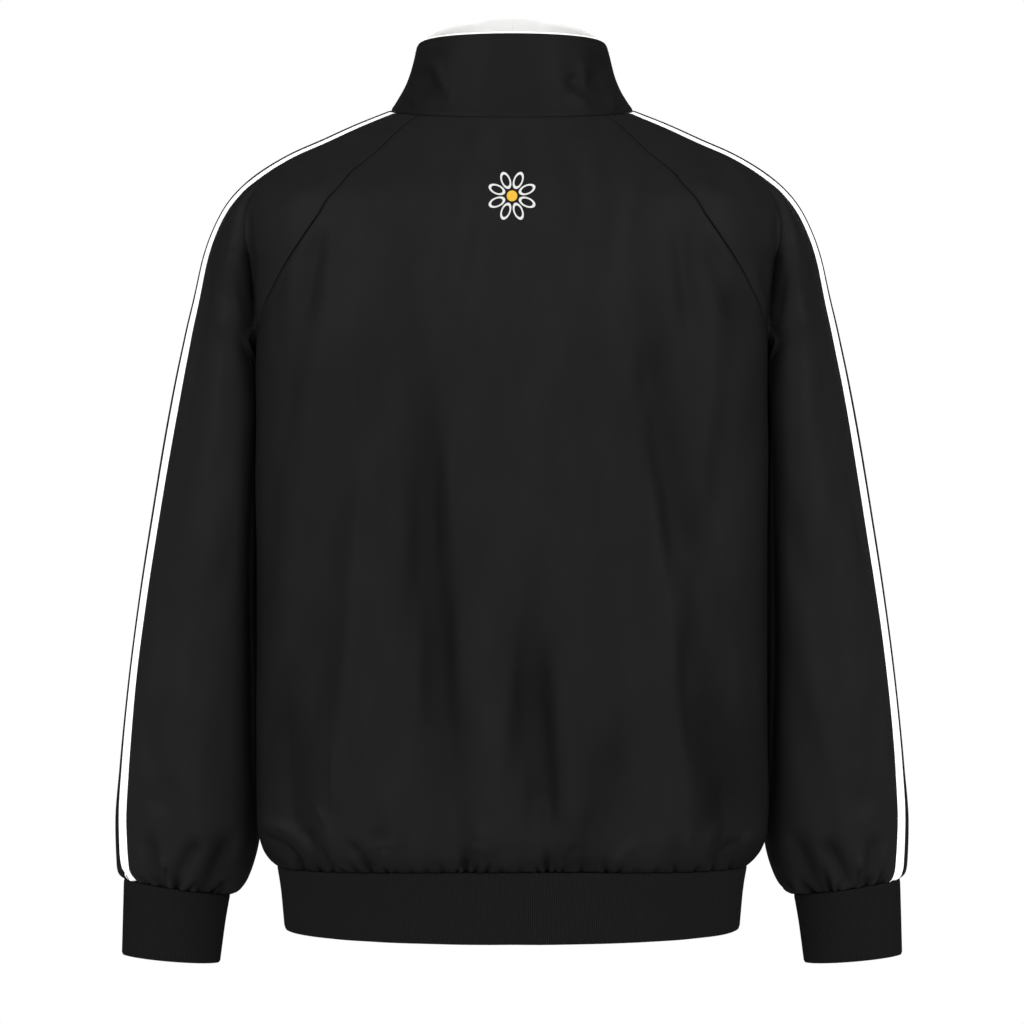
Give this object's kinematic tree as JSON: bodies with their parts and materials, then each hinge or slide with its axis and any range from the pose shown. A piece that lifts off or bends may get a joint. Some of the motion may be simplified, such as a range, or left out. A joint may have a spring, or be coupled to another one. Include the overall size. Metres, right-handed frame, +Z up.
{
  "type": "stand-collar windbreaker",
  "caption": "Raglan-sleeved zip jacket, filled out as if worn, with stand collar, ribbed hem and cuffs, and white tapes along the sleeves.",
  "frame": {"origin": "middle of the neck opening, at the height of the collar's seam at the sides", "axes": "+Z up along the wearer's spine, front of the jacket towards -Y, +X towards the wearer's left"},
  "size_m": [0.6732, 0.2799, 0.8018],
  "materials": {
    "black_satin": "satin woven polyester",
    "white_tape": "fine twill tape",
    "white_facing": "matt tricot",
    "black_rib": "fine rib knit",
    "zip_tape": "woven tape",
    "black_plastic": "moulded",
    "black_metal": "black enamel"
  },
  "bodies": {
    "jacket": {"back": "black_satin", "front_left": "black_satin", "front_right": "black_satin", "sleeve_left": "black_satin", "sleeve_right": "black_satin", "tape_left_back": "white_tape", "tape_left_front": "white_tape", "tape_right_back": "white_tape", "tape_right_front": "white_tape", "cuff_left": "black_rib", "cuff_right": "black_rib", "collar": "black_satin", "collar_facing": "white_facing", "hem_rib": "black_rib", "zip_tape_left": "zip_tape", "zip_tape_right": "zip_tape", "zip_teeth": "black_plastic", "zip_slider": "black_metal"},
    "pull_tab": {"zip_pull": "black_metal"}
  },
  "joints": [
    {"name": "pull_tab_swing", "type": "hinge", "parent": "jacket", "child": "pull_tab", "pos_m": [0, -0.08331, 0.06375], "axis": [-1, 0, 0], "range_deg": [0, 130]}
  ]
}
